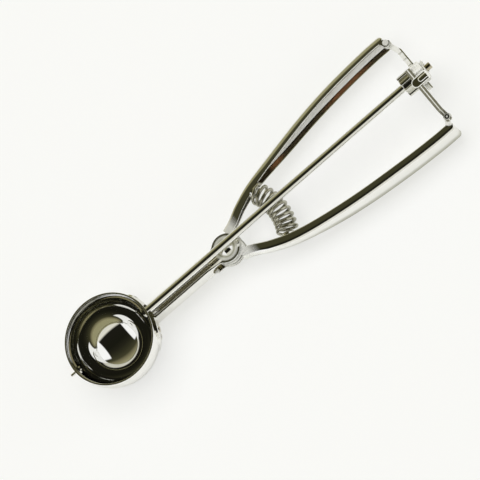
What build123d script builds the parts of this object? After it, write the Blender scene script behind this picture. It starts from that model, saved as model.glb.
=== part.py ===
from build123d import *
import os
from math import asin, atan, cos, hypot, pi, radians, sin, sqrt

# Lever ice cream scoop.  Squeezing the two handles drives two toothed racks across a pinion,
# which turns the shaft and sweeps a blade round the inside of the bowl.
# Frame: origin at the centre of the bowl's ball, on the shaft's axis.  +X runs along the shaft
# towards the handles' tips, +Z points out of the bowl's mouth, +Y is the upper handle's side.
# All sizes are in millimetres.

# Fits
RUN_FIT = 0.05            # radial clearance of a turning fit
SIDE_GAP = 0.02           # end float between flat faces that turn on each other
PLAY = 0.3                # room between pieces that pass each other
MESH_GAP = 0.2            # room between the rack guide and what it guides
OVER = 1.0                # how far a cutter runs past a face, and a bar into its neighbour

# Bowl
BOWL_R = 20.0             # outer radius of the ball
BOWL_WALL = 0.8
COLLAR = 4.0              # straight collar above the ball's centre
RIM_ROUND = 0.3

# Blade and its pin
BLADE_GAP = 0.3           # between the blade and the inside of the bowl
BLADE_T = 0.7
BLADE_W = 7.0
BLADE_REST = 5.0          # degrees below level, on the upper handle's side
PIN_R = 0.7
PIN_OUT = 2.8             # how far the pin stands out of the bowl
PIN_HEAD_R = 1.4
PIN_HEAD_T = 0.7

# Shaft
SHAFT_R = 1.7
TENON_R = 1.1             # reduced end that holds the blade
WASHER_R = 2.2
WASHER_T = 0.6
JOURNAL_R = 1.2           # reduced end that runs in the rack guide
CAP_R = 1.5
CAP_LEN = 2.6
CAP_CHAMFER = 0.2

PIVOT_X = 61.4            # the handles' pivot

# Neck: an open trough under the shaft that ends in two round ears
NECK_HALF_W = 3.6
NECK_WALL = 0.8
NECK_TOP = -3.3           # height of the trough's lips
NECK_BOTTOM = -12.0
NECK_CORNER = 2.2
NECK_START = 14.0         # under the bowl's bulge, trimmed to the ball
NECK_END = PIVOT_X - 7.9  # where the side walls stop
LIP_SLOPE = 4.0           # the lips start to fall this far before the walls stop
NECK_LIP_END = NECK_END + 3.0   # where the lips have run out
TOP_EAR = -4.4            # upper face of the upper ear
EAR_R = 6.3
EAR_FLARE = 3.5           # fillet between the trough and the ears
SADDLE_R = 13.2           # half width of the saddle across the bowl
SADDLE_T = 0.8
SADDLE_TOP = 1.2
SADDLE_BOTTOM = -15.0
SADDLE_CORNER = 5.7
WELD_R = 1.3
WELD_T = 0.25             # height of a weld button over the saddle
WELD_SINK = 0.1
WELD_Y = 8.7
WELD_HEIGHTS = (-2.5, -9.5)

# Pivot
RIVET_R = 1.5
RIVET_HEAD_R = 3.1
RIVET_HEAD_T = 1.3
RIVET_DIMPLE_R = 1.3
RIVET_DIMPLE = 0.5
SPACER_R = 2.5
PIVOT_WASHER_R = 3.2
PIVOT_WASHER_T = 0.26

# Handles: crowned channels that open towards the shaft
HANDLE_WALL = 0.8
HANDLE_TOP = -3.1
HANDLE_BOTTOM = -15.3
HANDLE_DEPTH = 4.3        # from the crest of the web to the flanges' edges
HANDLE_CROWN = 0.5
HANDLE_CORNER = 1.8
ROOT_CORNER = 1.2         # corner where the channel is as low as the ears
HANDLE_EAR_R = 6.6
TIP_X = 168.0
SQUEEZE = 6.9             # degrees that each handle closes
TIP_ROUND = 3.0
WEB_START = PIVOT_X + 3.2       # the web begins clear of the neck's ears
EAR_EDGE = PIVOT_X + 7.0        # straight end of the flat ear
RUN_SECTIONS = 12               # sections of the channel from there to the tip
FALL_END = EAR_EDGE + 44.0      # the lower flange has come down by here
RISE_START = EAR_EDGE + 17.6    # the upper flange leaves the ear's height here
RISE_END = RISE_START + 56.0
# crest of the web, as distance along the shaft from the pivot and height beside the shaft
CREST = [(1.0, 7.4), (7.0, 9.7), (13.6, 13.4), (23.6, 17.5), (38.6, 21.1),
         (58.6, 24.6), (78.6, 26.8), (97.0, 27.9), (107.5, 27.9)]

# Return spring
SPRING_R = 4.3            # to the middle of the wire
WIRE_R = 0.7
SPRING_TURNS = 10
SPRING_X = PIVOT_X + 22.2       # where its ends sit
SPRING_Z = -9.0
SPRING_BOW = 3.0          # how far the middle bows towards the tips
SEAT_R = 3.1              # button that the end coil sits over
SEAT_T = 1.6
SEAT_ROUND = 0.8
STEM_R = 1.0              # stem of the button, between the flanges
STEM_GAP = 0.2            # from the flat of the web to the stem's foot
EDGE_GAP = 0.05           # from the flanges' edges to the button
END_PLAY = 0.6            # from the flanges' edges to the end coil

# Rack drive
TEETH = 8
PINION_TIP_R = 5.0
PINION_ROOT_R = 3.7
PITCH_R = 4.4
TOOTH_ROOT_W = 1.6
TOOTH_TIP_W = 1.2
PINION_START = 162.0
RACK_T = 0.8              # strip that carries the teeth
RACK_W = 2.3
RACK_TIP_GAP = 0.1        # pinion's tips to the strip
RACK_TOOTH_H = 1.2
LOWER_RACK_X = 166.9      # near edge of the lower handle's rack, over the pinion
UPPER_RACK_X = 169.0      # near edge of the upper handle's rack, under the pinion
TRAVEL_GAPS = 5           # tooth gaps that pass the pinion in a full squeeze
SPARE_GAPS = 1            # one more on the upper handle's rack
HINGE_X = 168.1           # both racks' hinges
HINGE_Y = 22.0
HINGE_PIN_R = 0.8
HINGE_SHOULDER_R = 1.2
HINGE_HEAD_R = 1.3
HINGE_HEAD_T = 0.7
EYE_R = 1.8
HINGE_GAP = 0.1           # between the lower eye and its ear
RISER_GAP = 1.3           # hinge to the outer face of the lower rack's upright
TAB_START = TIP_X - 3.2   # the handles' tabs leave the flange here
TAB_LIFT = 0.35           # the tabs stand this far over the flange, clear of the teeth that pass

# Rack guide: sheet bent round the racks, slanted between its two arms, on the shaft's journal
GUIDE_T = 0.7
GUIDE_W = 4.2
GUIDE_Y = 4.9             # middle of the lower arm, and of the upper one to the other side
GUIDE_START = 165.6
GUIDE_BEND = 0.6
GUIDE_NOSE = 1.9          # corner radius of the arms' ends

# Worked out
BOWL_IN = BOWL_R - BOWL_WALL
BLADE_R = BOWL_IN - BLADE_GAP
BLADE_IN = BLADE_R - BLADE_T
BOTTOM_EAR = NECK_BOTTOM + NECK_WALL
EAR_GAP = PIVOT_WASHER_T + 2 * SIDE_GAP
LOWER_EAR_TOP = TOP_EAR - NECK_WALL - EAR_GAP
LOWER_EAR_BOTTOM = BOTTOM_EAR + EAR_GAP
UPPER_EAR_TOP = LOWER_EAR_TOP - HANDLE_WALL - EAR_GAP
UPPER_EAR_BOTTOM = LOWER_EAR_BOTTOM + HANDLE_WALL + EAR_GAP
HANDLE_MID = (HANDLE_TOP + HANDLE_BOTTOM) / 2
TAB_TOP = HANDLE_TOP + TAB_LIFT
SPRING_END_GAP = HANDLE_DEPTH + END_PLAY + WIRE_R   # from the crest of the web to the middle of the end coil
PITCH = 2 * pi * PITCH_R / TEETH
RACK_LOW = PINION_TIP_R + RACK_TIP_GAP
RACK_TOP = RACK_LOW + RACK_T
GUIDE_INNER = RACK_TOP + MESH_GAP
HINGE_ARM = hypot(HINGE_X - PIVOT_X, HINGE_Y)
HINGE_REST = asin(HINGE_Y / HINGE_ARM)
# the racks drift this far along the pinion in a full squeeze
GUIDE_SHIFT = HINGE_ARM * (cos(HINGE_REST - radians(SQUEEZE)) - cos(HINGE_REST))
GUIDE_PLATE_X = UPPER_RACK_X + RACK_W + GUIDE_SHIFT + PLAY
PINION_END = GUIDE_PLATE_X - MESH_GAP


def rod_x(radius, start, end, y=0.0, z=0.0):
    """Round bar along X."""
    return Pos((start + end) / 2, y, z) * Rot(0, 90, 0) * Cylinder(radius, end - start)


def rod_z(radius, low, high, x, y):
    """Round bar along Z."""
    return Pos(x, y, (low + high) / 2) * Cylinder(radius, high - low)


def block(low, high):
    """Box between two opposite corners."""
    size = [b - a for a, b in zip(low, high)]
    middle = [(a + b) / 2 for a, b in zip(low, high)]
    return Pos(*middle) * Box(*size)


def plate(sketch, low, high):
    """Flat sketch made solid between two heights."""
    return extrude(Pos(0, 0, low) * sketch, high - low)


def cup(radius, top):
    """Half ball with a straight collar, as a full solid."""
    side = radius * sin(radians(45))
    outline = [
        Line((0, -radius), (0, top)),
        Line((0, top), (radius, top)),
        Line((radius, top), (radius, 0)),
        ThreePointArc((radius, 0), (side, -side), (0, -radius)),
    ]
    return revolve(Plane.XZ * make_face(outline), Axis.Z, 360)


def bowl():
    shell = cup(BOWL_R, COLLAR) - cup(BOWL_IN, COLLAR + OVER)
    rim = shell.edges().filter_by(GeomType.CIRCLE).group_by(Axis.Z)[-1]
    shell = fillet(rim, RIM_ROUND)
    shell -= rod_x(SHAFT_R + RUN_FIT, 0, BOWL_R + OVER)
    return shell - rod_x(PIN_R + RUN_FIT, -BOWL_R - OVER, 0)


def scraper_blade():
    """Band of a ball, round at both ends, from the pin to the shaft."""
    shell = Sphere(BLADE_R) - Sphere(BLADE_IN)
    band = block((-BOWL_R, -BLADE_W / 2, -BOWL_R), (BOWL_R, BLADE_W / 2, 0))
    band += rod_x(BLADE_W / 2, -BOWL_R, BOWL_R)
    blade = Rot(90 - BLADE_REST, 0, 0) * (shell & band)
    blade -= rod_x(PIN_R, -BOWL_R, 0)
    return blade - rod_x(TENON_R, 0, BOWL_R)


def blade_pivot_pin():
    seat = sqrt(BLADE_IN ** 2 - PIN_HEAD_R ** 2)
    pin = rod_x(PIN_R, -BOWL_R - PIN_OUT, -seat + PIN_HEAD_T)
    return pin + rod_x(PIN_HEAD_R, -seat, -seat + PIN_HEAD_T)


def shaft():
    bar = rod_x(SHAFT_R, 0, GUIDE_PLATE_X - SIDE_GAP) - Sphere(BLADE_R)
    bar += rod_x(TENON_R, BLADE_IN - WASHER_T - PLAY, BLADE_R + OVER)
    return bar + rod_x(JOURNAL_R, PINION_END - OVER, GUIDE_PLATE_X + GUIDE_T + SIDE_GAP + CAP_LEN)


def blade_washer():
    seat = sqrt(BLADE_IN ** 2 - WASHER_R ** 2)
    return rod_x(WASHER_R, seat - WASHER_T, seat) - rod_x(TENON_R, 0, BOWL_R)


def shaft_end_cap():
    start = GUIDE_PLATE_X + GUIDE_T + SIDE_GAP
    cap = rod_x(CAP_R, start, start + CAP_LEN)
    cap = chamfer(cap.edges().group_by(Axis.X)[-1], CAP_CHAMFER)
    return cap - rod_x(JOURNAL_R, start - OVER, start + CAP_LEN + OVER)


def pinion():
    tooth = Polygon(
        (0, -TOOTH_ROOT_W / 2), (PINION_ROOT_R, -TOOTH_ROOT_W / 2), (PINION_TIP_R + OVER, -TOOTH_TIP_W / 2),
        (PINION_TIP_R + OVER, TOOTH_TIP_W / 2), (PINION_ROOT_R, TOOTH_ROOT_W / 2), (0, TOOTH_ROOT_W / 2),
        align=None)
    outline = Circle(PINION_ROOT_R)
    for spot in PolarLocations(0, TEETH):
        outline += spot * tooth
    outline = (outline & Circle(PINION_TIP_R)) - Circle(SHAFT_R)
    wheel = extrude(Plane.YZ * outline, PINION_END - PINION_START)
    return Pos(PINION_START, 0, 0) * wheel


def trough_outline(half_w, top, bottom, corner):
    """U section on the YZ plane, closed across its lips."""
    box = Pos(0, (top + bottom) / 2) * Rectangle(2 * half_w, top - bottom)
    low = box.vertices().group_by(Axis.Y)[0]
    return fillet(low, corner)


def neck_ear(low):
    """Round ear with the tongue that joins it to the trough."""
    start = NECK_END - 2 * OVER
    tongue = Pos((start + PIVOT_X) / 2, 0) * Rectangle(PIVOT_X - start, 2 * NECK_HALF_W)
    outline = tongue + Pos(PIVOT_X, 0) * Circle(EAR_R)
    waist = outline.vertices().filter_by(lambda v: NECK_END < v.X < PIVOT_X and abs(v.Y) < EAR_R)
    outline = fillet(waist, EAR_FLARE)
    ear = plate(outline, low, low + NECK_WALL)
    return ear - rod_z(RIVET_R, low - OVER, low + NECK_WALL + OVER, PIVOT_X, 0)


def neck_saddle():
    """Pad that hugs the bowl's outside, round in front view."""
    pad = cup(BOWL_R + SADDLE_T, COLLAR) - cup(BOWL_R, COLLAR + OVER)
    middle = (SADDLE_TOP + SADDLE_BOTTOM) / 2
    height = SADDLE_TOP - SADDLE_BOTTOM
    front = Pos(0, middle) * RectangleRounded(2 * SADDLE_R, height, SADDLE_CORNER)
    return pad & extrude(Plane.YZ * front, BOWL_R + SADDLE_T + OVER)


def neck_channel():
    outer = trough_outline(NECK_HALF_W, NECK_TOP, NECK_BOTTOM, NECK_CORNER)
    inner = trough_outline(NECK_HALF_W - NECK_WALL, NECK_TOP + OVER, BOTTOM_EAR, NECK_CORNER - NECK_WALL)
    trough = Pos(NECK_START, 0, 0) * extrude(Plane.YZ * (outer - inner), NECK_LIP_END - NECK_START)
    past = NECK_LIP_END + OVER
    under = TOP_EAR - NECK_WALL
    window = block((NECK_END, -BOWL_R, BOTTOM_EAR), (past, BOWL_R, under))
    window += Pos(NECK_END, 0, (BOTTOM_EAR + under) / 2) * Rot(90, 0, 0) * Cylinder(
        (under - BOTTOM_EAR) / 2, 2 * BOWL_R)
    trough -= window
    slope = Plane.XZ * Polygon((NECK_END - LIP_SLOPE, NECK_TOP), (NECK_END - LIP_SLOPE, NECK_TOP + OVER),
                               (past, NECK_TOP + OVER), (past, TOP_EAR), (NECK_LIP_END - OVER, TOP_EAR),
                               align=None)
    trough -= extrude(slope, BOWL_R, both=True)
    neck = trough + neck_saddle() - cup(BOWL_R, COLLAR + OVER)
    neck += neck_ear(TOP_EAR - NECK_WALL)
    neck += neck_ear(NECK_BOTTOM)
    return neck - rod_x(SHAFT_R + PLAY, BOWL_R - OVER, BOWL_R + SADDLE_T + OVER)


def saddle_welds():
    """Spot weld buttons that hold the saddle, two each side of the trough."""
    buttons = []
    for side in (-1, 1):
        for z in WELD_HEIGHTS:
            y = side * WELD_Y
            direction = Vector(sqrt(BOWL_R ** 2 - y ** 2 - z ** 2), y, z).normalized()
            spot = Plane(origin=direction * (BOWL_R + SADDLE_T), z_dir=direction)
            button = spot * Pos(0, 0, (WELD_T - WELD_SINK) / 2) * Cylinder(WELD_R, WELD_T + WELD_SINK)
            buttons.append(button - Sphere(BOWL_R + SADDLE_T))
    return Compound(children=buttons)


def pivot_rivet():
    """Domed rivet with a dimple, through the neck's ears and all the handles' ears."""
    dome_r = (RIVET_HEAD_R ** 2 + RIVET_HEAD_T ** 2) / (2 * RIVET_HEAD_T)
    dome = Pos(0, 0, RIVET_HEAD_T - dome_r) * Sphere(dome_r) & Pos(0, 0, RIVET_HEAD_T / 2) * Cylinder(
        RIVET_HEAD_R, RIVET_HEAD_T)
    dimple = Pos(0, 0, RIVET_HEAD_T) * Cylinder(RIVET_DIMPLE_R, 2 * RIVET_DIMPLE)
    top = Pos(PIVOT_X, 0, TOP_EAR) * (dome - dimple)
    bottom = Pos(PIVOT_X, 0, NECK_BOTTOM) * Rot(180, 0, 0) * dome
    return top + bottom + rod_z(RIVET_R, NECK_BOTTOM, TOP_EAR, PIVOT_X, 0)


def pivot_ring(radius, low, high):
    return rod_z(radius, low, high, PIVOT_X, 0) - rod_z(RIVET_R, low - OVER, high + OVER, PIVOT_X, 0)


def pivot_spacer():
    return pivot_ring(SPACER_R, UPPER_EAR_BOTTOM + HANDLE_WALL + SIDE_GAP,
                      UPPER_EAR_TOP - HANDLE_WALL - SIDE_GAP)


def pivot_washers():
    """Thin washers between the ears."""
    tops = (TOP_EAR - NECK_WALL, LOWER_EAR_TOP - HANDLE_WALL)
    bottoms = (BOTTOM_EAR, LOWER_EAR_BOTTOM + HANDLE_WALL)
    lows = [top - SIDE_GAP - PIVOT_WASHER_T for top in tops] + [bottom + SIDE_GAP for bottom in bottoms]
    return Compound(children=[pivot_ring(PIVOT_WASHER_R, low, low + PIVOT_WASHER_T) for low in lows])


def crest_line():
    """Crest of the upper handle's web in plan."""
    return Spline(*[(PIVOT_X + along, beside) for along, beside in CREST])


def crest_at(line, x):
    """Place and direction of the crest where it passes x."""
    low, high = 0.0, 1.0
    for _ in range(40):
        middle = (low + high) / 2
        if (line @ middle).X < x:
            low = middle
        else:
            high = middle
    return line @ low, line % low


def ease(x, start, end):
    """Smooth step from 0 to 1 between two places."""
    t = min(max((x - start) / (end - start), 0.0), 1.0)
    return t * t * (3 - 2 * t)


def channel_section(line, x, ear_top, ear_bottom):
    """Crowned C section of a handle, square to the crest."""
    fall = ease(x, EAR_EDGE, FALL_END)
    top = ear_top + (HANDLE_TOP - ear_top) * ease(x, RISE_START, RISE_END)
    bottom = ear_bottom + (HANDLE_BOTTOM - ear_bottom) * fall
    half = (top - bottom) / 2
    outer_corner = ROOT_CORNER + (HANDLE_CORNER - ROOT_CORNER) * fall
    full_flat = (HANDLE_TOP - HANDLE_BOTTOM) / 2 - HANDLE_CORNER
    crest_crown = HANDLE_CROWN * (half - outer_corner) / full_flat
    place, along = crest_at(line, x)
    plane = Plane(origin=(place.X, place.Y, (top + bottom) / 2),
                  x_dir=(along.Y, -along.X, 0), z_dir=(-along.X, -along.Y, 0))

    def half_outline(inset):
        crown = crest_crown + inset
        corner = outer_corner - inset
        height = half - inset
        turn = corner * sin(radians(45))
        edge = (HANDLE_DEPTH, height)
        bend = (crown + corner, height)
        middle = (crown + corner - turn, height - corner + turn)
        shoulder = (crown, height - corner)
        return edge, bend, middle, shoulder

    def flip(point):
        return (point[0], -point[1])

    edge, bend, middle, shoulder = half_outline(0)
    in_edge, in_bend, in_middle, in_shoulder = half_outline(HANDLE_WALL)
    outline = [
        Line(edge, bend),
        ThreePointArc(bend, middle, shoulder),
        ThreePointArc(shoulder, (0, 0), flip(shoulder)),
        ThreePointArc(flip(shoulder), flip(middle), flip(bend)),
        Line(flip(bend), flip(edge)),
        Line(flip(edge), flip(in_edge)),
        Line(flip(in_edge), flip(in_bend)),
        ThreePointArc(flip(in_bend), flip(in_middle), flip(in_shoulder)),
        ThreePointArc(flip(in_shoulder), (HANDLE_WALL, 0), in_shoulder),
        ThreePointArc(in_shoulder, in_middle, in_bend),
        Line(in_bend, in_edge),
        Line(in_edge, edge),
    ]
    return plane * make_face(outline)


def handle(ear_top, ear_bottom):
    """One handle, on the upper side: lofted channel, two flat ears and the tab for the rack's pin."""
    line = crest_line()
    root_x = [WEB_START, (WEB_START + EAR_EDGE) / 2, EAR_EDGE]
    run = TIP_X - EAR_EDGE
    run_x = [EAR_EDGE + step * run / RUN_SECTIONS for step in range(RUN_SECTIONS + 1)]
    body = loft([channel_section(line, x, ear_top, ear_bottom) for x in root_x], ruled=True)
    body += loft([channel_section(line, x, ear_top, ear_bottom) for x in run_x])
    height = HANDLE_TOP - HANDLE_BOTTOM
    side = Pos(TIP_X / 2, HANDLE_MID) * RectangleRounded(TIP_X, height, TIP_ROUND)
    room = Pos(TIP_X / 4, HANDLE_MID) * Rectangle(TIP_X, 2 * height)
    body &= extrude(Plane.XZ * (side + room), 2 * BOWL_R, both=True)
    root_crest, _ = crest_at(line, WEB_START)
    edge_crest, _ = crest_at(line, EAR_EDGE)
    tuck = HANDLE_WALL + ROOT_CORNER
    ear = Pos(PIVOT_X, 0) * Circle(HANDLE_EAR_R) + Polygon(
        (PIVOT_X, 0), (EAR_EDGE, 0), (EAR_EDGE, edge_crest.Y - tuck),
        (root_crest.X, root_crest.Y - tuck), align=None)
    for low in (ear_top - HANDLE_WALL, ear_bottom):
        flat = plate(ear, low, low + HANDLE_WALL)
        body += flat - rod_z(RIVET_R + RUN_FIT, low - OVER, low + HANDLE_WALL + OVER, PIVOT_X, 0)
    tip_crest, _ = crest_at(line, TIP_X - TIP_ROUND)
    back = tip_crest.Y - HANDLE_DEPTH + OVER
    tab = Pos(HINGE_X, HINGE_Y) * Circle(EYE_R) + Polygon(
        (TAB_START, back), (HINGE_X - EYE_R, HINGE_Y), (HINGE_X + EYE_R, HINGE_Y),
        (TIP_X - OVER, back), align=None)
    tab = plate(tab, TAB_TOP - HANDLE_WALL, TAB_TOP)
    body += tab - rod_z(HINGE_PIN_R, HANDLE_BOTTOM, 0, HINGE_X, HINGE_Y)
    return body


def upper_handle():
    return handle(UPPER_EAR_TOP, UPPER_EAR_BOTTOM)


def lower_handle():
    return mirror(handle(LOWER_EAR_TOP, LOWER_EAR_BOTTOM), Plane.XZ)


def spring_end():
    """Middle of the upper end coil."""
    place, along = crest_at(crest_line(), SPRING_X)
    return place.X + along.Y * SPRING_END_GAP, place.Y - along.X * SPRING_END_GAP


def return_spring():
    """One wire wound round a bowed line between the handles."""
    end_x, end_y = spring_end()
    half_turn = 2 * atan(SPRING_BOW / end_y)
    bow_r = end_y / sin(half_turn)
    centre_x = end_x - bow_r * cos(half_turn)
    steps = 12 * SPRING_TURNS
    points = []
    for step in range(steps + 1):
        share = step / steps
        lean = half_turn * (1 - 2 * share)
        angle = 2 * pi * SPRING_TURNS * share
        reach = bow_r + SPRING_R * cos(angle)
        points.append((centre_x + reach * cos(lean), reach * sin(lean), SPRING_Z + SPRING_R * sin(angle)))
    wire = Spline(*points)
    section = Plane(origin=wire @ 0, z_dir=wire % 0) * Circle(WIRE_R)
    return sweep(section, path=wire, is_frenet=True)


def upper_spring_seat():
    """Button on a stem between the handle's flanges, inside the end coil."""
    place, along = crest_at(crest_line(), SPRING_X)
    crest = Plane(origin=(place.X, place.Y, SPRING_Z), z_dir=(along.Y, -along.X, 0))
    foot = HANDLE_WALL + STEM_GAP
    seat = HANDLE_DEPTH + EDGE_GAP
    button = crest * Pos(0, 0, seat + SEAT_T / 2) * Cylinder(SEAT_R, SEAT_T)
    button = fillet(button.edges().sort_by_distance(crest.origin)[-1], SEAT_ROUND)
    return button + crest * Pos(0, 0, (foot + seat) / 2) * Cylinder(STEM_R, seat - foot)


def lower_spring_seat():
    return mirror(upper_spring_seat(), Plane.XZ)


def rack_end(spare):
    """How far a rack runs on past the pinion's axis, to the side of its last tooth."""
    return (spare + 0.5) * PITCH + TOOTH_ROOT_W / 2


def toothed_strip(near_x, spare, far_y):
    """Strip over the pinion with its teeth down, one gap centred on the axis and +Y towards the hinge."""
    length = far_y + rack_end(spare)
    outline = Pos(far_y - length / 2, (RACK_LOW + RACK_TOP) / 2) * Rectangle(length, RACK_T)
    tooth = Polygon((-TOOTH_ROOT_W / 2, RACK_TOP), (-TOOTH_TIP_W / 2, RACK_LOW - RACK_TOOTH_H),
                    (TOOTH_TIP_W / 2, RACK_LOW - RACK_TOOTH_H), (TOOTH_ROOT_W / 2, RACK_TOP), align=None)
    for index in range(-spare - 1, TRAVEL_GAPS):
        outline += Pos((index + 0.5) * PITCH, 0) * tooth
    return Pos(near_x, 0, 0) * extrude(Plane.YZ * outline, RACK_W)


def upper_rack():
    """Rack under the pinion, cranked over to the upper handle's pin."""
    last_tooth = (TRAVEL_GAPS - 0.5) * PITCH + TOOTH_ROOT_W / 2
    rack = mirror(toothed_strip(UPPER_RACK_X, SPARE_GAPS, last_tooth), Plane.XY)
    neck = last_tooth - OVER
    crank = Polygon(
        (UPPER_RACK_X, neck), (UPPER_RACK_X + RACK_W, neck), (UPPER_RACK_X + RACK_W, last_tooth),
        (HINGE_X + RACK_W / 2, HINGE_Y), (HINGE_X - RACK_W / 2, HINGE_Y), (UPPER_RACK_X, last_tooth),
        align=None)
    rack += plate(crank, -RACK_TOP, -RACK_LOW)
    rack += rod_z(EYE_R, -RACK_TOP, -RACK_LOW, HINGE_X, HINGE_Y)
    return rack - rod_z(HINGE_PIN_R + RUN_FIT, -RACK_TOP - OVER, 0, HINGE_X, HINGE_Y)


def lower_rack():
    """Rack over the pinion with an upright down to its eye on the lower handle."""
    riser_y = HINGE_Y - RISER_GAP
    rack = toothed_strip(LOWER_RACK_X, 0, riser_y)
    foot_low = TAB_TOP + HINGE_GAP
    foot = Pos(HINGE_X, HINGE_Y) * Circle(EYE_R) + Pos(
        LOWER_RACK_X + RACK_W / 2, riser_y - RACK_T / 2) * Rectangle(RACK_W, RACK_T)
    rack += plate(foot, foot_low, foot_low + RACK_T)
    rack += block((LOWER_RACK_X, riser_y - RACK_T, foot_low), (LOWER_RACK_X + RACK_W, riser_y, RACK_TOP))
    rack -= rod_z(HINGE_PIN_R + RUN_FIT, foot_low - OVER, foot_low + RACK_T + OVER, HINGE_X, HINGE_Y)
    return mirror(rack, Plane.XZ)


def hinge_pin(y, low, high):
    """Pin with a head over what it holds."""
    return rod_z(HINGE_PIN_R, low, high, HINGE_X, y) + rod_z(
        HINGE_HEAD_R, high, high + HINGE_HEAD_T, HINGE_X, y)


def upper_hinge_pin():
    """Headed below the rack too, and its shoulder keeps the rack at the level of the pinion's underside."""
    head_top = -RACK_TOP - SIDE_GAP
    pin = hinge_pin(HINGE_Y, head_top, TAB_TOP)
    pin += rod_z(HINGE_HEAD_R, head_top - HINGE_HEAD_T, head_top, HINGE_X, HINGE_Y)
    return pin + rod_z(HINGE_SHOULDER_R, -RACK_LOW + SIDE_GAP, TAB_TOP - HANDLE_WALL, HINGE_X, HINGE_Y)


def lower_hinge_pin():
    """Flush under the tab, where the other rack's teeth pass."""
    return hinge_pin(-HINGE_Y, TAB_TOP - HANDLE_WALL, TAB_TOP + HINGE_GAP + RACK_T + SIDE_GAP)


def rack_guide():
    """Sheet bent into two round-ended arms over and under the racks, slanted from one to the other."""
    outer = GUIDE_INNER + GUIDE_T
    end = GUIDE_PLATE_X + GUIDE_T
    half = GUIDE_W / 2
    reach = GUIDE_Y + half
    sheet = block((GUIDE_START, -reach, -outer), (end, reach, outer))
    sheet = fillet(sheet.edges().filter_by(Axis.Y).group_by(Axis.X)[-1], GUIDE_BEND)
    sheet -= block((GUIDE_START - OVER, -reach - OVER, -GUIDE_INNER),
                   (GUIDE_PLATE_X, reach + OVER, GUIDE_INNER))
    length = end + GUIDE_W - GUIDE_START
    tongue = Pos(GUIDE_START + length / 2, 0) * RectangleRounded(length, GUIDE_W, GUIDE_NOSE)
    slant = Polygon((-GUIDE_Y - half, outer), (GUIDE_Y - half, -outer), (GUIDE_Y + half, -outer),
                    (-GUIDE_Y + half, outer), align=None)
    guide = sheet & Pos(GUIDE_PLATE_X, 0, 0) * extrude(Plane.YZ * slant, GUIDE_T + OVER)
    guide += sheet & plate(Pos(0, -GUIDE_Y) * tongue, GUIDE_INNER, outer + OVER)
    guide += sheet & plate(Pos(0, GUIDE_Y) * tongue, -outer - OVER, -GUIDE_INNER)
    return guide - rod_x(JOURNAL_R + RUN_FIT, GUIDE_PLATE_X - OVER, end + OVER)


PARTS = {
    "bowl": bowl,
    "scraper_blade": scraper_blade,
    "blade_pivot_pin": blade_pivot_pin,
    "blade_washer": blade_washer,
    "shaft": shaft,
    "shaft_end_cap": shaft_end_cap,
    "pinion": pinion,
    "neck_channel": neck_channel,
    "saddle_welds": saddle_welds,
    "pivot_rivet": pivot_rivet,
    "pivot_spacer": pivot_spacer,
    "pivot_washers": pivot_washers,
    "upper_handle": upper_handle,
    "lower_handle": lower_handle,
    "return_spring": return_spring,
    "upper_spring_seat": upper_spring_seat,
    "lower_spring_seat": lower_spring_seat,
    "upper_rack": upper_rack,
    "lower_rack": lower_rack,
    "upper_hinge_pin": upper_hinge_pin,
    "lower_hinge_pin": lower_hinge_pin,
    "rack_guide": rack_guide,
}

os.makedirs("parts", exist_ok=True)
for name, make in PARTS.items():
    export_step(make(), f"parts/{name}.step")
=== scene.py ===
import bmesh
import bpy
from math import atan, cos, hypot, pi, radians, sin, sqrt
from mathutils import Matrix, Vector


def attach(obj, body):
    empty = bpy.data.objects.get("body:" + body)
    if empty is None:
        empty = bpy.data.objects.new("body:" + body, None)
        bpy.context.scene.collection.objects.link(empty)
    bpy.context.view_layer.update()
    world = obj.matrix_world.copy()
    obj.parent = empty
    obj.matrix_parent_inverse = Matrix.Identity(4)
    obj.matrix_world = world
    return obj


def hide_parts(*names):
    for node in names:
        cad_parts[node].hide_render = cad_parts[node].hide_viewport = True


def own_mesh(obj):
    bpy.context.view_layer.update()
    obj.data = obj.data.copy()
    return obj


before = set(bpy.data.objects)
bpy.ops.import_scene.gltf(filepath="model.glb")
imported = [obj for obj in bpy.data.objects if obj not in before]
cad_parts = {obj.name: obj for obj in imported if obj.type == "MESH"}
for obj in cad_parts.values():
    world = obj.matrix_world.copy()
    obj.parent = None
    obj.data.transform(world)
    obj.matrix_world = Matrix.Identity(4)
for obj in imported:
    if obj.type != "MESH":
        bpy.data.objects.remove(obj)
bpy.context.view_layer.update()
MM = 0.001

# Camera
IMAGE = 480
SENSOR = 36.0
LENS = 271.5
CAMERA_DISTANCE = 1.513
TOWARDS_CAMERA = Vector((0.1085, -0.3925, 0.9133)).normalized()
PICTURE_UP = Vector((0.6517, 0.7212, 0.2350))
AIM = Vector((0.075, 0.0, 0.0))
AIM_RIGHT = 6.3            # pixels right of the picture's middle
AIM_UP = 15.6              # pixels above it

# Studio, in metres
TABLE_SIZE = 20
TABLE_Z = -20.3 * MM
TABLE_GLOW = 0.62          # share of the table's own light in what the camera sees
BOX_SIDE = (0.57, 0.61)    # sideways share of a direction where the softboxes begin
BOX_END = (14, 20)         # degrees past the zenith where they end

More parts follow.
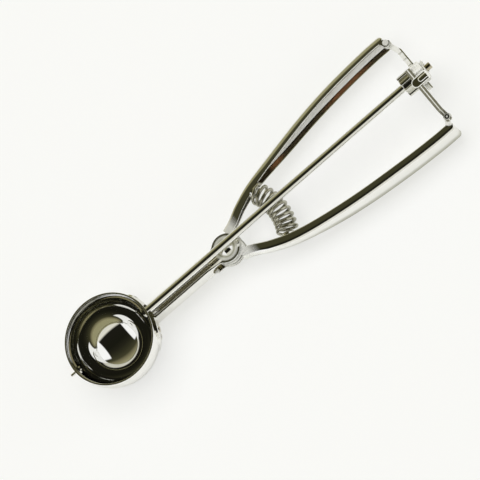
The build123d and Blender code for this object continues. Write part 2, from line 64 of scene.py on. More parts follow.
# Sizes in millimetres. Most are the solids' own; bends, tips, crest and wire differ a little
BOWL_R = 20.0
BOWL_WALL = 0.8
COLLAR = 4.0
RIM_EDGE = 0.12            # rounding of the rim's edges
EDGE_SUPPORT = 0.05        # extra point beside a rounding, so that the face beside it shades flat
RIDGE_Z = 2.15             # half-round ridge that is pressed into the collar
RIDGE_R = 0.3
SHEET = 0.8                # wall of the handles
PIVOT_X = 61.4
WEB_START = PIVOT_X + 3.2
EAR_EDGE = PIVOT_X + 7.0
FALL_END = EAR_EDGE + 44.0
RISE_START = EAR_EDGE + 17.6
RISE_END = RISE_START + 56.0
TIP_X = 168.0
TIP_ROUND = 0.5            # seen from the side
NOSE = 1.7                 # the same end seen from above
NOSE_CORE = 0.6            # share of the depth that the end closes towards
NOSE_LEFT = 0.3            # share of the depth that is left at the very end
HANDLE_TOP = -3.1
HANDLE_BOTTOM = -15.3
HANDLE_DEPTH = 4.3
HANDLE_CROWN = 0.5
CROWN_HALF = 4.2           # half height of a web that has the whole crown
CROWN_STEPS = 5
LIP_SUPPORT = 0.06         # extra point beside a flange's lip and bend
UPPER_CORNER = 2.7         # outer bend between the web and the flanges
LOWER_CORNER = 1.6
ROOT_CORNER_SHARE = 0.78   # corner's share of the half height at the root
EAR_R = 6.6
EAR_ARC_START = 132        # degrees, where the ear's round leaves the web
EAR_INSET = 1.9            # from the web's crest to the ear plate's straight side
PLATE_SINK = 0.02          # the ear plate's faces lie this far inside the channel's
CREST = [(1.0, 7.4), (7.0, 9.5), (13.6, 13.2), (23.6, 17.4), (38.6, 21.1),
         (58.6, 24.6), (78.6, 26.8), (97.0, 27.9), (107.5, 27.9)]
UPPER_EAR = (-6.62, -9.78)      # outer faces of the upper handle's ears
LOWER_EAR = (-5.50, -10.90)
SPRING_X = PIVOT_X + 22.2
SPRING_Z = -9.0
SPRING_BOW = 3.0
SPRING_R = 4.3
SPRING_TURNS = 10
SPRING_END_GAP = 5.6       # from the web's crest to the end coil
WIRE_R = 0.68
HINGE_X = 168.1
HINGE_Y = 22.0
TAB_TOP = -2.75
TAB_R = 1.8
TAB_START = TIP_X - 3.2    # the tab leaves the flange between these two places
TAB_END = TIP_X - 1.0
TAB_CREST_X = TIP_X - 3.0  # where the flange's edge is taken
TAB_LAP = 1.0              # how far the tab lies over the flange
FACES_UP = 0.85            # least upward share of a normal that faces up
FACES_SHAFT = 0.3          # least share towards the shaft of one that faces the shaft
PINION_START = 162.0
PINION_END = 173.27
PINION_TIP_R = 5.0
PINION_ROOT_R = 3.7
TEETH = 8
TOOTH_STEPS = 24
TOOTH_FLANK = (-0.55, 0.45)     # stretch of a tooth's wave over which it rises
PINION_ROUND = 0.25        # rounding of the pinion's end edges
PINION_ROUND_MIDDLE = 0.08
RACK_W = 2.3
LOWER_RACK_X = 166.9
UPPER_RACK_X = 169.0
GUIDE_START = 165.6
GUIDE_PLATE_X = 173.47
GUIDE_T = 0.7
GUIDE_W = 4.2
GUIDE_Y = 4.9
GUIDE_INNER = 6.1
GUIDE_BEND = 0.7           # outer radius of its two bends
GUIDE_EMBOSS = 0.22        # height of the pressed tongue on each arm
TONGUE_START = (3.3, 3.9)  # from the arm's end: where the tongue begins to rise, and is up
TONGUE_SIDE = (0.8, 1.15)  # from the arm's middle: where it begins to fall, and is down
TONGUE_END = 0.6           # length of its fall before the bend

# Cycles of the fine lines' noise to a millimetre or a radian along the lines
ALONG_DRAWN = 0.04
ALONG_SPUN = 0.6
ALONG_TURNED = 0.5
ALONG_CROSS = 0.06


# ---------------------------------------------------------------- scene

def place_camera():
    right = PICTURE_UP.cross(TOWARDS_CAMERA).normalized()
    up = TOWARDS_CAMERA.cross(right).normalized()
    metres_per_pixel = CAMERA_DISTANCE * SENSOR / LENS / IMAGE
    middle = AIM - right * AIM_RIGHT * metres_per_pixel - up * AIM_UP * metres_per_pixel
    turn = Matrix((right, up, TOWARDS_CAMERA)).transposed().to_4x4()
    data = bpy.data.cameras.new("camera")
    data.sensor_width = SENSOR
    data.lens = LENS
    data.clip_end = 100.0
    camera = bpy.data.objects.new("camera", data)
    bpy.context.scene.collection.objects.link(camera)
    camera.matrix_world = Matrix.Translation(middle + TOWARDS_CAMERA * CAMERA_DISTANCE) @ turn
    bpy.context.scene.camera = camera


class Paint:
    """Shader nodes of one material or world, made one at a time and wired as they are made."""

    def __init__(self, tree):
        self.tree = tree
        self.tree.nodes.clear()

    def node(self, kind, settings=None, values=None, wires=None):
        made = self.tree.nodes.new(kind)
        for name, value in (settings or {}).items():
            setattr(made, name, value)
        for name, value in (values or {}).items():
            made.inputs[name].default_value = value
        for name, socket in (wires or {}).items():
            self.tree.links.new(socket, made.inputs[name])
        return made

    def maths(self, operation, first, second=None):
        values = {}
        wires = {}
        for place, term in ((0, first), (1, second)):
            if isinstance(term, (int, float)):
                values[place] = term
            elif term is not None:
                wires[place] = term
        return self.node("ShaderNodeMath", {"operation": operation}, values, wires).outputs[0]

    def ramp(self, factor, stops):
        made = self.node("ShaderNodeValToRGB", wires={"Fac": factor})
        elements = made.color_ramp.elements
        for index, (place, colour) in enumerate(stops):
            element = elements[index] if index < 2 else elements.new(place)
            element.position = place
            element.color = (*colour, 1)
        return made.outputs["Color"]

    def span(self, value, low, high, to_low=0.0, to_high=1.0, smooth=False):
        settings = {"interpolation_type": "SMOOTHSTEP"} if smooth else {}
        values = {"From Min": low, "From Max": high, "To Min": to_low, "To Max": to_high}
        return self.node("ShaderNodeMapRange", settings, values, {"Value": value}).outputs["Result"]

    def length(self, first, second):
        squares = [self.maths("MULTIPLY", term, term) for term in (first, second)]
        return self.maths("SQRT", self.maths("ADD", *squares))

    def band(self, value, low, high, soft):
        """One between low and high, nothing outside them, and a soft edge."""
        return self.maths("MULTIPLY", self.span(value, low - soft, low + soft),
                          self.span(value, high - soft, high + soft, 1.0, 0.0))

    def mix(self, factor, first, second):
        made = self.node("ShaderNodeMix", {"data_type": "RGBA"})
        for name, term in (("Factor", factor), (6, first), (7, second)):
            if isinstance(term, bpy.types.NodeSocket):
                self.tree.links.new(term, made.inputs[name])
            elif isinstance(term, tuple):
                made.inputs[name].default_value = (*term, 1)
            else:
                made.inputs[name].default_value = term
        return made.outputs[2]


# degrees from the zenith, towards the far side, and the room's colour there
ROOM = [(-180, (0.80, 0.80, 0.76)), (-95, (0.80, 0.80, 0.76)), (-60, (0.72, 0.71, 0.63)),
        (-50, (0.80, 0.78, 0.68)), (-45, (0.012, 0.011, 0.008)), (-12, (0.010, 0.010, 0.006)),
        (2, (0.018, 0.017, 0.010)), (14, (0.032, 0.031, 0.016)), (26, (0.055, 0.052, 0.026)),
        (34, (0.20, 0.18, 0.10)), (45, (0.34, 0.32, 0.18)), (90, (0.36, 0.34, 0.20)),
        (180, (0.8, 0.8, 0.76))]


def studio_world():
    """Dark room overhead, white table and cards in front, and a white softbox on each side."""
    world = bpy.data.worlds.new("studio")
    bpy.context.scene.world = world
    world.use_nodes = True
    paint = Paint(world.node_tree)
    coords = paint.node("ShaderNodeTexCoord")
    split = paint.node("ShaderNodeSeparateXYZ", wires={"Vector": coords.outputs["Generated"]})
    lean = paint.maths("ARCTAN2", split.outputs["Y"], split.outputs["Z"])
    bands = paint.ramp(paint.span(lean, -pi, pi), [((a + 180) / 360, colour) for a, colour in ROOM])
    side = paint.maths("ABSOLUTE", split.outputs["X"])
    box = paint.span(side, *BOX_SIDE, smooth=True)
    low, high = (radians(angle) for angle in BOX_END)
    before = paint.span(lean, low, high, 1.0, 0.0, smooth=True)
    lit = paint.mix(paint.maths("MULTIPLY", box, before), bands, (1.0, 1.0, 1.0))
    background = paint.node("ShaderNodeBackground", wires={"Color": lit})
    paint.node("ShaderNodeOutputWorld", wires={"Surface": background.outputs["Background"]})


def floor():
    """Pale table that keeps a soft shadow of the scoop."""
    bpy.ops.mesh.primitive_plane_add(size=TABLE_SIZE)
    plane = bpy.context.object
    plane.name = "floor"
    plane.location.z = TABLE_Z
    material = bpy.data.materials.new("pale_table")
    material.use_nodes = True
    paint = Paint(material.node_tree)
    table = paint.node("ShaderNodeBsdfPrincipled",
                       values={"Base Color": (0.94, 0.94, 0.925, 1), "Roughness": 0.25})
    glow = paint.node("ShaderNodeEmission", values={"Color": (0.955, 0.96, 0.945, 1), "Strength": 1.0})
    rays = paint.node("ShaderNodeLightPath")
    share = paint.maths("MULTIPLY", rays.outputs["Is Camera Ray"], TABLE_GLOW)
    both = paint.node("ShaderNodeMixShader", wires={0: share, 1: table.outputs[0], 2: glow.outputs[0]})
    paint.node("ShaderNodeOutputMaterial", wires={"Surface": both.outputs[0]})
    plane.data.materials.append(material)


def overhead_light():
    """Soft lamp above the scoop that no steel mirrors."""
    data = bpy.data.lights.new("overhead", "AREA")
    data.shape = "DISK"
    data.size = 1.6
    data.energy = 18
    lamp = bpy.data.objects.new("overhead", data)
    lamp.location = (0.075, 0.1, 1.4)
    lamp.visible_glossy = False
    lamp.visible_camera = False
    bpy.context.scene.collection.objects.link(lamp)


# ---------------------------------------------------------------- finishes

def bar(axis, low, high, soft=0.05):
    """Mask of a straight bar that lies across one axis."""
    def mask(paint, axes):
        return paint.band(axes["xyz".index(axis)], low, high, soft)
    return mask


def overlap(*masks):
    """Mask of where several masks lie over one another."""
    def mask(paint, axes):
        whole = masks[0](paint, axes)
        for other in masks[1:]:
            whole = paint.maths("MULTIPLY", whole, other(paint, axes))
        return whole
    return mask


def disk(x, y, inner, outer, soft=0.1):
    """Mask of a ring about an upright axis."""
    def mask(paint, axes):
        across = paint.maths("SUBTRACT", axes[0], x)
        beside = paint.maths("SUBTRACT", axes[1], y)
        return paint.band(paint.length(across, beside), inner, outer, soft)
    return mask


def tongue(nose, y, inner, outer, soft=0.06):
    """Mask of the outline of a round-nosed tongue on both sides of the shaft."""
    def mask(paint, axes):
        across = paint.maths("MINIMUM", paint.maths("SUBTRACT", axes[0], nose), 0.0)
        beside = paint.maths("SUBTRACT", paint.maths("ABSOLUTE", axes[1]), y)
        return paint.band(paint.length(across, beside), inner, outer, soft)
    return mask


def steel(name, light, dull, shine, lines, depth, pattern="drawn", centre=(0, 0, 0), metal=1.0, marks=()):
    """Polished steel: fine lines left by the work, hand smudges, pits and a slow change of tone.

    lines is how many of them there are to a millimetre; pattern says how they run. Each mark is a
    mask with the colour, the metal share and the added roughness of the steel under it; some marks paint
    shade and others reflections."""
    material = bpy.data.materials.new(name)
    material.use_nodes = True
    paint = Paint(material.node_tree)
    coords = paint.node("ShaderNodeTexCoord").outputs["Object"]
    mm = 1 / MM
    to_centre = {"Location": tuple(-c for c in centre), "Scale": (mm, mm, mm)}
    place = paint.node("ShaderNodeMapping", values=to_centre, wires={"Vector": coords}).outputs[0]
    x, y, z = paint.node("ShaderNodeSeparateXYZ", wires={"Vector": place}).outputs
    out = paint.length(x, y)
    around = paint.maths("ARCTAN2", y, x)
    if pattern == "drawn":
        grain_axes = (paint.maths("MULTIPLY", x, ALONG_DRAWN), paint.maths("MULTIPLY", y, lines),
                      paint.maths("MULTIPLY", z, lines))
    elif pattern == "spun":
        dip = paint.maths("ARCTAN2", z, out)
        grain_axes = (paint.maths("MULTIPLY", around, ALONG_SPUN),
                      paint.maths("MULTIPLY", dip, BOWL_R * lines),
                      paint.maths("MULTIPLY", out, ALONG_CROSS))
    elif pattern == "turned":
        grain_axes = (paint.maths("MULTIPLY", out, lines), paint.maths("MULTIPLY", z, lines),
                      paint.maths("MULTIPLY", around, ALONG_TURNED))
    else:
        grain_axes = (paint.maths("MULTIPLY", x, lines), paint.maths("MULTIPLY", y, ALONG_CROSS),
                      paint.maths("MULTIPLY", z, ALONG_CROSS))
    grain_place = paint.node("ShaderNodeCombineXYZ", wires=dict(enumerate(grain_axes))).outputs[0]
    grain = paint.node("ShaderNodeTexNoise", values={"Scale": 1.0, "Detail": 4.0, "Roughness": 0.65},
                       wires={"Vector": grain_place}).outputs["Fac"]
    smudge = paint.node("ShaderNodeTexNoise", values={"Scale": 0.11, "Detail": 5.0, "Distortion": 1.2},
                        wires={"Vector": place}).outputs["Fac"]
    pits = paint.node("ShaderNodeTexVoronoi", values={"Scale": 0.9}, wires={"Vector": place})
    pit = paint.span(pits.outputs["Distance"], 0.03, 0.12, smooth=True)
    tone = paint.ramp(smudge, [(0.30, dull), (0.62, light)])
    worn = paint.mix(pit, tuple(0.55 * c for c in dull), tone)
    shade = paint.mix(paint.span(grain, 0.25, 0.8, 0.0, 0.35), worn, light)
    rough = paint.maths("ADD", paint.span(smudge, 0.35, 0.75, shine, shine * 2.2),
                        paint.span(grain, 0.3, 0.8, 0.0, shine))
    share = metal
    for mask, colour, mark_metal, mark_rough in marks:
        under = mask(paint, (x, y, z))
        shade = paint.mix(under, shade, colour)
        change = paint.maths("MULTIPLY", under, mark_metal - metal)
        share = paint.maths("ADD", change, share)
        rough = paint.maths("ADD", rough, paint.maths("MULTIPLY", under, mark_rough))
    height = paint.maths("ADD", grain, paint.maths("MULTIPLY", pit, 0.25))
    bump = paint.node("ShaderNodeBump", values={"Strength": 1.0, "Distance": depth * MM},
                      wires={"Height": height}).outputs["Normal"]
    shader = paint.node("ShaderNodeBsdfPrincipled", values={"Metallic": metal},
                        wires={"Base Color": shade, "Roughness": rough, "Normal": bump})
    if marks:
        paint.tree.links.new(paint.maths("MAXIMUM", share, 0.0), shader.inputs["Metallic"])
    paint.node("ShaderNodeOutputMaterial", wires={"Surface": shader.outputs[0]})
    return material


# ---------------------------------------------------------------- helpers for pieces

def piece(name, mesh, material, body, node, smooth_below=40.0, others=()):
    """Finish a bmesh, in millimetres, as an object that stands for the named node."""
    bmesh.ops.remove_doubles(mesh, verts=mesh.verts, dist=0.0005)
    bmesh.ops.recalc_face_normals(mesh, faces=mesh.faces)
    bmesh.ops.scale(mesh, vec=(MM, MM, MM), verts=mesh.verts)
    for face in mesh.faces:
        face.smooth = True
    for edge in mesh.edges:
        edge.smooth = len(edge.link_faces) == 2 and edge.calc_face_angle(0) < radians(smooth_below)
    data = bpy.data.meshes.new(name)
    mesh.to_mesh(data)
    mesh.free()
    for finish in (material, *others):
        data.materials.append(finish)
    made = bpy.data.objects.new(name, data)
    bpy.context.scene.collection.objects.link(made)
    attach(made, body)
    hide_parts(node)
    return made


def ring_of(mesh, points):
    """Closed loop of edges through the points."""
    verts = [mesh.verts.new(point) for point in points]
    return [mesh.edges.new((a, b)) for a, b in zip(verts, verts[1:] + verts[:1])]


def sweep(mesh, rings):
    """Skin over closed rings of equally many points, with its two ends closed."""
    loops = [ring_of(mesh, ring) for ring in rings]
    for near, far in zip(loops, loops[1:]):
        bmesh.ops.bridge_loops(mesh, edges=near + far)
    for loop in (loops[0], loops[-1]):
        bmesh.ops.contextual_create(mesh, geom=loop)


def slab(mesh, outline, high, thick):
    """Plate of a flat outline that reaches down from a height."""
    ring = ring_of(mesh, [(x, y, high) for x, y in outline])
    face = bmesh.ops.contextual_create(mesh, geom=ring)["faces"]
    drop = bmesh.ops.extrude_face_region(mesh, geom=face)["geom"]
    verts = [item for item in drop if isinstance(item, bmesh.types.BMVert)]
    bmesh.ops.translate(mesh, verts=verts, vec=(0, 0, -thick))


def arc(centre, radius, start, end, steps):
    """Points of an arc, angles in degrees."""
    turns = [radians(start + (end - start) * step / steps) for step in range(steps + 1)]
    return [(centre[0] + radius * cos(turn), centre[1] + radius * sin(turn)) for turn in turns]


def spun(mesh, profile, steps):
    """Turn an open profile of (radius, height) points about the upright axis."""
    verts = [mesh.verts.new((radius, 0, height)) for radius, height in profile]
    edges = [mesh.edges.new(pair) for pair in zip(verts, verts[1:])]
    bmesh.ops.spin(mesh, geom=verts + edges, cent=(0, 0, 0), axis=(0, 0, 1), angle=2 * pi,
                   steps=steps, use_merge=True)
    bmesh.ops.remove_doubles(mesh, verts=mesh.verts, dist=0.0005)


def ease(x, start, end):
    """Smooth step from 0 to 1 between two places."""
    t = min(max((x - start) / (end - start), 0.0), 1.0)
    return t * t * (3 - 2 * t)


# ---------------------------------------------------------------- bowl

def bowl(material):
    """Ball-shaped bowl with a straight collar and a fine ridge round its inside."""
    mesh = bmesh.new()
    inner = BOWL_R - BOWL_WALL
    profile = arc((0, 0), BOWL_R, -90, 0, 48)
    profile += [(BOWL_R, COLLAR - RIM_EDGE - EDGE_SUPPORT)]
    profile += arc((BOWL_R - RIM_EDGE, COLLAR - RIM_EDGE), RIM_EDGE, 0, 90, 4)
    profile += [(BOWL_R - RIM_EDGE - EDGE_SUPPORT, COLLAR), (inner + RIM_EDGE + EDGE_SUPPORT, COLLAR)]
    profile += arc((inner + RIM_EDGE, COLLAR - RIM_EDGE), RIM_EDGE, 90, 180, 4)
    profile += [(inner, COLLAR - RIM_EDGE - EDGE_SUPPORT), (inner, RIDGE_Z + RIDGE_R + EDGE_SUPPORT)]
    profile += arc((inner, RIDGE_Z), RIDGE_R, 90, 270, 12)
    profile += [(inner, RIDGE_Z - RIDGE_R - EDGE_SUPPORT)]
    profile += arc((0, 0), inner, 0, -90, 48)
    spun(mesh, profile, steps=192)
    return piece("bowl_shell", mesh, material, "root", "bowl", smooth_below=60)


# ---------------------------------------------------------------- handles

def crest_at(x):
    """Height of the web's crest beside the shaft, and its slope."""
    knots = [(PIVOT_X + along, beside) for along, beside in CREST]
    spots = max(0, min(len(knots) - 2, sum(1 for knot in knots if knot[0] < x) - 1))

    def slope(index):
        before = knots[max(index - 1, 0)]
        after = knots[min(index + 1, len(knots) - 1)]
        return (after[1] - before[1]) / (after[0] - before[0])

    (x0, y0), (x1, y1) = knots[spots], knots[spots + 1]
    width = x1 - x0
    t = (x - x0) / width
    m0, m1 = slope(spots) * width, slope(spots + 1) * width
    y = ((2 * t ** 3 - 3 * t ** 2 + 1) * y0 + (t ** 3 - 2 * t ** 2 + t) * m0
         + (3 * t ** 2 - 2 * t ** 3) * y1 + (t ** 3 - t ** 2) * m1)
    dy = ((6 * t ** 2 - 6 * t) * y0 + (3 * t ** 2 - 4 * t + 1) * m0
          + (6 * t - 6 * t ** 2) * y1 + (3 * t ** 2 - 2 * t) * m1)
    return y, dy / width


def channel_ring(x, ear, bend_r, side):
    """Closed outline of a handle's channel where its crest passes x."""
    fall = ease(x, EAR_EDGE, FALL_END)
    top = ear[0] + (HANDLE_TOP - ear[0]) * ease(x, RISE_START, RISE_END)
    bottom = ear[1] + (HANDLE_BOTTOM - ear[1]) * fall
    middle = (top + bottom) / 2
    half = (top - bottom) / 2
    tip = max(x - (TIP_X - TIP_ROUND), 0.0)
    half -= TIP_ROUND - sqrt(max(TIP_ROUND ** 2 - tip * tip, 0.0))
    corner = min(bend_r, ROOT_CORNER_SHARE * half)
    flat = half - corner
    crown = HANDLE_CROWN * flat / CROWN_HALF

    def bulge(inset):
        steps = [share / CROWN_STEPS for share in range(CROWN_STEPS, -CROWN_STEPS - 1, -1)]
        return [(inset + crown * share * share, share * flat) for share in steps]

    bend = (crown + corner, flat)
    lip = (HANDLE_DEPTH - SHEET / 2, half - SHEET / 2)
    flange = arc(lip, SHEET / 2, -90, 90, 8) + [(lip[0] - LIP_SUPPORT, half), (bend[0] + LIP_SUPPORT, half)]
    flange += arc(bend, corner, 90, 180, 10)[:-1]
    flange = [(lip[0] - LIP_SUPPORT, half - SHEET)] + flange
    outer = flange + bulge(0.0) + [(d, -h) for d, h in reversed(flange)]
    inner = [(d, -h) for d, h in arc(bend, corner - SHEET, 90, 180, 6)[:-1]]
    inner += [(d, -h) for d, h in bulge(SHEET)]
    inner += list(reversed(arc(bend, corner - SHEET, 90, 180, 6)[:-1]))
    y, slope = crest_at(x)
    run = hypot(1, slope)
    inward = (slope / run, -1 / run)
    reach = max(x - (TIP_X - NOSE), 0.0) / NOSE
    width = max(sqrt(max(1 - reach * reach, 0.0)), NOSE_LEFT)
    core = HANDLE_DEPTH * NOSE_CORE
    outer = [(core + (d - core) * width, h) for d, h in outer]
    inner = [(core + (d - core) * width, h) for d, h in inner]
    return [(x + inward[0] * d, side * (y + inward[1] * d), middle + h) for d, h in outer + inner]


def ear_plate(mesh, high, side):
    """Flat ear round the pivot that runs on into the channel's flange."""
    y_edge, _ = crest_at(EAR_EDGE)
    y_root, _ = crest_at(WEB_START)
    outline = arc((PIVOT_X, 0), EAR_R, EAR_ARC_START, 360, 40)
    outline += [(EAR_EDGE, 0.0), (EAR_EDGE, y_edge - EAR_INSET), (WEB_START, y_root - EAR_INSET)]
    slab(mesh, [(x, side * y) for x, y in outline], high, SHEET - 2 * PLATE_SINK)


def handle(name, material, inside, back, body, node, ear, bend_r, side):
    """Crowned channel, two flat ears and the tab for the rack's pin.

    The inside of its lower flange takes a painted dark reflection and the inside of its web a painted pale
    reflection, each a material of its own."""
    mesh = bmesh.new()
    runs, nose_steps = 90, 12
    straight = TIP_X - NOSE - WEB_START
    stations = [WEB_START + straight * step / runs for step in range(runs + 1)]
    stations += [TIP_X - NOSE + NOSE * sin(radians(90 / nose_steps * step))
                 for step in range(1, nose_steps)]
    sweep(mesh, [channel_ring(x, ear, bend_r, side) for x in stations])
    ear_plate(mesh, ear[0] - PLATE_SINK, side)
    ear_plate(mesh, ear[1] + SHEET - PLATE_SINK, side)
    root = crest_at(TAB_CREST_X)[0] - HANDLE_DEPTH + TAB_LAP
    tab = [(TAB_START, root), (HINGE_X - TAB_R, HINGE_Y)]
    tab += arc((HINGE_X, HINGE_Y), TAB_R, 180, 360, 16)[1:]
    tab += [(TAB_END, root)]
    slab(mesh, [(x, side * y) for x, y in tab], TAB_TOP, SHEET)
    bmesh.ops.recalc_face_normals(mesh, faces=mesh.faces)
    # upward faces inside the lower flange get the painted dark reflection, faces towards the shaft inside
    # the web the painted pale reflection
    for face in mesh.faces:
        middle = face.calc_center_median()
        if middle.x < EAR_EDGE:
            continue
        deep = crest_at(min(middle.x, TIP_X))[0] - side * middle.y
        if face.normal.z > FACES_UP and middle.z < (ear[0] + HANDLE_BOTTOM) / 2 and deep > SHEET:
            face.material_index = 1
        elif side * face.normal.y < -FACES_SHAFT and deep < HANDLE_DEPTH / 2:
            face.material_index = 2
    return piece(name, mesh, material, body, node, smooth_below=35, others=(inside, back))


def return_spring(material):
    """Open coil on a bowed line between the handles, made as it lies before they press it shorter."""
    mesh = bmesh.new()
    crest, slope = crest_at(SPRING_X)
    run = hypot(1, slope)
    end_x = SPRING_X + SPRING_END_GAP * slope / run
    end_y = crest - SPRING_END_GAP / run
    half_turn = 2 * atan(SPRING_BOW / end_y)
    bow_r = end_y / sin(half_turn)
    steps = 40 * SPRING_TURNS
    corners = [radians(30 * corner) for corner in range(12)]
    rings = []
    for step in range(steps + 1):
        lean = half_turn * (1 - 2 * step / steps)
        angle = 2 * pi * SPRING_TURNS * step / steps
        along = Vector((-sin(lean), cos(lean), 0))
        out = Vector((cos(angle) * cos(lean), cos(angle) * sin(lean), sin(angle)))
        middle = Vector((end_x - bow_r * cos(half_turn) + bow_r * cos(lean), bow_r * sin(lean), SPRING_Z))
        middle += out * SPRING_R
        rings.append([middle + WIRE_R * (out * cos(corner) + along * sin(corner)) for corner in corners])
    sweep(mesh, rings)
    coil = piece("return_spring_coil", mesh, material, "root", "return_spring",
                 smooth_below=60)
    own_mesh(coil)


# ---------------------------------------------------------------- drive end

def pinion(material):
    """Toothed wheel with rounded tooth tips and hollow roots."""
    mesh = bmesh.new()
    steps = TEETH * TOOTH_STEPS

    def radius(step):
        wave = cos(2 * pi * step / TOOTH_STEPS)
        return PINION_ROOT_R + (PINION_TIP_R - PINION_ROOT_R) * ease(wave, *TOOTH_FLANK)

    def ring(x, shrink):
        points = []
        for step in range(steps):
            turn = 2 * pi * step / steps
            points.append((x, (radius(step) - shrink) * sin(turn), (radius(step) - shrink) * cos(turn)))
        return points

    places = [(PINION_START, PINION_ROUND), (PINION_START + PINION_ROUND_MIDDLE, PINION_ROUND_MIDDLE),
              (PINION_START + PINION_ROUND, 0.0), (PINION_END - PINION_ROUND, 0.0),
              (PINION_END - PINION_ROUND_MIDDLE, PINION_ROUND_MIDDLE), (PINION_END, PINION_ROUND)]
    sweep(mesh, [ring(x, shrink) for x, shrink in places])
    return piece("pinion_wheel", mesh, material, "spindle", "pinion", smooth_below=50)


def rack_guide(material):
    """Bent strip: a round-nosed tongue over the racks, a slanted plate and the same tongue below."""
    mesh = bmesh.new()
    outer = GUIDE_INNER + GUIDE_T
    end = GUIDE_PLATE_X + GUIDE_T
    arm = end - GUIDE_BEND - GUIDE_START
    plate = 2 * (outer - GUIDE_BEND)
    turn = GUIDE_BEND * pi / 2
    whole = 2 * arm + 2 * turn + plate
    long_steps, wide_steps = 150, 14
    bmesh.ops.create_grid(mesh, x_segments=long_steps, y_segments=wide_steps, size=1.0)

    def place(u, v):
        """Where a point of the flat strip lies once it is bent."""
        run = (u + 1) / 2 * whole
        if run > whole / 2:
            run = whole - run
            flip = -1
        else:
            flip = 1
        nose = 1.0
        if run < GUIDE_W / 2:
            nose = sqrt(max(1 - (1 - run / (GUIDE_W / 2)) ** 2, 0.0))
        if run < arm:
            x, z, out = GUIDE_START + run, outer, (0, 1)
        elif run < arm + turn:
            lean = (run - arm) / GUIDE_BEND
            x = end - GUIDE_BEND + GUIDE_BEND * sin(lean)
            z = outer - GUIDE_BEND + GUIDE_BEND * cos(lean)
            out = (sin(lean), cos(lean))
        else:
            x, z, out = end, outer - GUIDE_BEND - (run - arm - turn), (1, 0)
        middle = -GUIDE_Y * min(z / (outer - GUIDE_BEND), 1.0)
        y = middle + v * nose * GUIDE_W / 2
        reach = abs(v * nose) * GUIDE_W / 2
        raised = ease(run, *TONGUE_START) * (1 - ease(reach, *TONGUE_SIDE))
        raised *= 1 - ease(run, arm - TONGUE_END, arm)
        z -= out[1] * GUIDE_EMBOSS * (1 - raised)
        return (x, y * flip, z * flip)

    for vert in mesh.verts:
        vert.co = place(vert.co.x, vert.co.y)
    bmesh.ops.recalc_face_normals(mesh, faces=mesh.faces)
    bmesh.ops.solidify(mesh, geom=mesh.faces[:], thickness=GUIDE_EMBOSS - GUIDE_T)
    return piece("guide_strip", mesh, material, "root", "rack_guide", smooth_below=50)


# ---------------------------------------------------------------- build

place_camera()
studio_world()
floor()
overhead_light()

BRIGHT = (0.91, 0.91, 0.89)
BRIGHT_DULL = (0.86, 0.86, 0.83)
PLATED = (0.86, 0.86, 0.82)
PLATED_DULL = (0.78, 0.78, 0.72)

bowl_steel = steel("spun_bowl_steel", (0.92, 0.92, 0.90), (0.87, 0.87, 0.84), shine=0.008,
                   lines=9.0, depth=0.0002, pattern="spun")
# painted shade low on the web, which stands in for the table's shadow mirrored there; satin round the ears
# and on the lower handle's tab
handle_steel = steel("drawn_handle_steel", BRIGHT, BRIGHT_DULL, shine=0.012, lines=8.0, depth=0.0005, marks=[
    (bar("z", -22.0, -11.3, 2.6), (0.34, 0.34, 0.22), 1.0, 0.05),
    (bar("x", PIVOT_X - 9.0, PIVOT_X + 9.0, 2.2), PLATED, 0.45, 0.25),
    (disk(HINGE_X, -HINGE_Y, 0.0, 3.4, 0.3), PLATED, 0.2, 0.2)])
# painted shade inside the trough; a painted pale reflection on its wall at +Y, as a near white, almost
# non-metal patch; satin on the ears round a ring of painted shade where they dish; and painted light low at
# -Y, as a pale patch over a dark stretch
neck_steel = steel("drawn_neck_steel", BRIGHT, BRIGHT_DULL, shine=0.015, lines=8.0, depth=0.0006, marks=[
    (overlap(bar("x", 22.0, 56.0, 0.6), bar("y", -2.6, 2.6), bar("z", -12.0, -4.2, 0.4)),
     (0.42, 0.39, 0.27), 1.0, 0.02),
    (overlap(bar("x", 18.0, 53.0, 0.5), bar("y", 2.3, 9.0)), PLATED, 0.05, 0.3),
    (disk(PIVOT_X, 0, 0.0, 5.4, 0.3), (0.80, 0.80, 0.74), 0.55, 0.25),
    (disk(PIVOT_X, 0, 3.6, 4.1, 0.25), (0.40, 0.39, 0.28), 0.9, 0.0),
    (overlap(bar("x", 46.0, 52.7, 0.2), bar("y", -9.0, -2.0, 0.2), bar("z", -12.0, -9.7)),
     PLATED, 0.1, 0.3)])
# painted reflection: dark all over, standing in for the dark room mirrored in the inside of the lower
# flange, and brown in two stretches along it, standing in for something warm mirrored there
inside_painted_dark = steel("inside_flange_painted_dark", (0.060, 0.047, 0.028), (0.022, 0.018, 0.010), shine=0.10,
                     lines=6.0, depth=0.002, marks=[
    (bar("x", 133.0, 154.0, 5.0), (0.20, 0.090, 0.038), 0.8, 0.1),
    (bar("x", 97.0, 103.0, 2.0), (0.20, 0.095, 0.040), 0.8, 0.1)])
# painted reflection: near white and almost non-metal, standing in for the white table mirrored in the web's
# inside; one thin dark line along the web
web_painted_pale = steel("web_steel_painted_pale", (0.98, 0.98, 0.96), (0.95, 0.95, 0.92), shine=0.2, lines=8.0,
                   depth=0.001, metal=0.05, marks=[
    (bar("z", -11.7, -11.2, 0.12), (0.35, 0.34, 0.28), 0.3, 0.0)])
shaft_steel = steel("drawn_rod_steel", (0.90, 0.90, 0.88), (0.84, 0.84, 0.81), shine=0.012, lines=6.0,
                    depth=0.0004)
spring_steel = steel("spring_wire_steel", (0.54, 0.53, 0.45), (0.24, 0.23, 0.17), shine=0.008, lines=8.0,
                     depth=0.0002, pattern="turned")
# painted reflection: dark along the edge towards the tips
rack_steel = steel("plated_rack_steel", PLATED, PLATED_DULL, shine=0.2, lines=7.0, depth=0.001,
                   pattern="cross", metal=0.15, marks=[
    (bar("x", UPPER_RACK_X + RACK_W - 0.5, UPPER_RACK_X + RACK_W + 1.0), (0.20, 0.19, 0.10), 0.5, 0.0)])
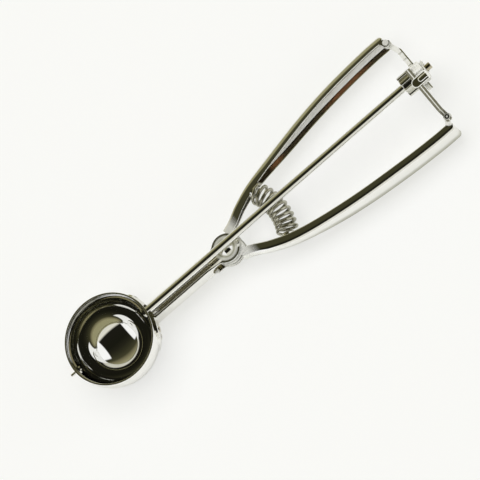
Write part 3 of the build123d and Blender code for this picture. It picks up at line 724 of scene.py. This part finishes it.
# painted reflections of a groove: two dark bands with a bright line between them
rail_steel = steel("painted_groove_rack_steel", PLATED, PLATED_DULL, shine=0.15, lines=7.0, depth=0.001,
                   pattern="cross", metal=0.2, marks=[
    (bar("x", LOWER_RACK_X - 0.2, LOWER_RACK_X + 0.95), (0.30, 0.29, 0.22), 0.5, 0.0),
    (bar("x", LOWER_RACK_X + 1.4, LOWER_RACK_X + 2.5), (0.26, 0.25, 0.18), 0.5, 0.0)])
# painted highlights: pale outlines round the arm and its tongue, and a pale plate
guide_steel = steel("pressed_guide_steel", (0.70, 0.69, 0.62), (0.58, 0.57, 0.48), shine=0.06, lines=7.0,
                    depth=0.001, pattern="cross", marks=[
    (tongue(GUIDE_START + 2.1, GUIDE_Y, 1.8, 2.4), PLATED, 0.1, 0.2),
    (tongue(GUIDE_START + 4.4, GUIDE_Y, 0.85, 1.12), PLATED, 0.1, 0.2),
    (bar("x", GUIDE_PLATE_X - 0.3, GUIDE_PLATE_X + 1.0), PLATED, 0.1, 0.2)])
# pale on the end towards the tips
pinion_steel = steel("milled_pinion_steel", (0.84, 0.84, 0.80), (0.70, 0.70, 0.65), shine=0.03, lines=7.0,
                     depth=0.0015, pattern="cross", marks=[
    (bar("x", LOWER_RACK_X + 1.9, PINION_END + 0.5, 0.2), PLATED, 0.08, 0.25)])
cap_steel = steel("burnished_cap_steel", (0.56, 0.52, 0.41), (0.42, 0.39, 0.29), shine=0.05, lines=7.0,
                  depth=0.0015, pattern="turned")
pin_steel = steel("turned_pin_steel", (0.88, 0.88, 0.85), (0.78, 0.78, 0.74), shine=0.04, lines=9.0,
                  depth=0.001, pattern="turned", centre=(PIVOT_X, 0, 0))
# dark ring on the lower pin's head
hinge_pin_steel = steel("plated_pin_steel", PLATED, (0.74, 0.74, 0.70), shine=0.15, lines=9.0, depth=0.001,
                        pattern="turned", metal=0.3, marks=[
    (disk(HINGE_X, -HINGE_Y, 0.4, 1.1, 0.15), (0.05, 0.048, 0.035), 0.8, 0.0)])
blade_steel = steel("wiped_blade_steel", (0.88, 0.88, 0.86), (0.80, 0.80, 0.77), shine=0.03, lines=8.0,
                    depth=0.0008, pattern="spun")
weld_steel = steel("weld_steel", (0.80, 0.77, 0.70), (0.66, 0.62, 0.54), shine=0.10, lines=4.0,
                   depth=0.003, pattern="cross")

FINISHES = {
    "bowl": bowl_steel, "scraper_blade": blade_steel, "blade_pivot_pin": pin_steel,
    "blade_washer": pin_steel, "shaft": shaft_steel, "shaft_end_cap": cap_steel, "pinion": pinion_steel,
    "neck_channel": neck_steel, "saddle_welds": weld_steel, "pivot_rivet": pin_steel,
    "pivot_spacer": pin_steel, "pivot_washers": pin_steel, "upper_handle": handle_steel,
    "lower_handle": handle_steel, "return_spring": spring_steel, "upper_spring_seat": pin_steel,
    "lower_spring_seat": pin_steel, "upper_rack": rack_steel, "lower_rack": rail_steel,
    "upper_hinge_pin": hinge_pin_steel, "lower_hinge_pin": hinge_pin_steel, "rack_guide": guide_steel,
}
for name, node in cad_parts.items():
    node.data.materials.clear()
    node.data.materials.append(FINISHES[name])

bowl(bowl_steel)
handle("upper_handle_channel", handle_steel, inside_painted_dark, web_painted_pale, "upper_lever", "upper_handle",
       UPPER_EAR, UPPER_CORNER, 1)
handle("lower_handle_channel", handle_steel, inside_painted_dark, web_painted_pale, "lower_lever", "lower_handle",
       LOWER_EAR, LOWER_CORNER, -1)
return_spring(spring_steel)
pinion(pinion_steel)
rack_guide(guide_steel)

bpy.context.scene.view_settings.view_transform = "Standard"
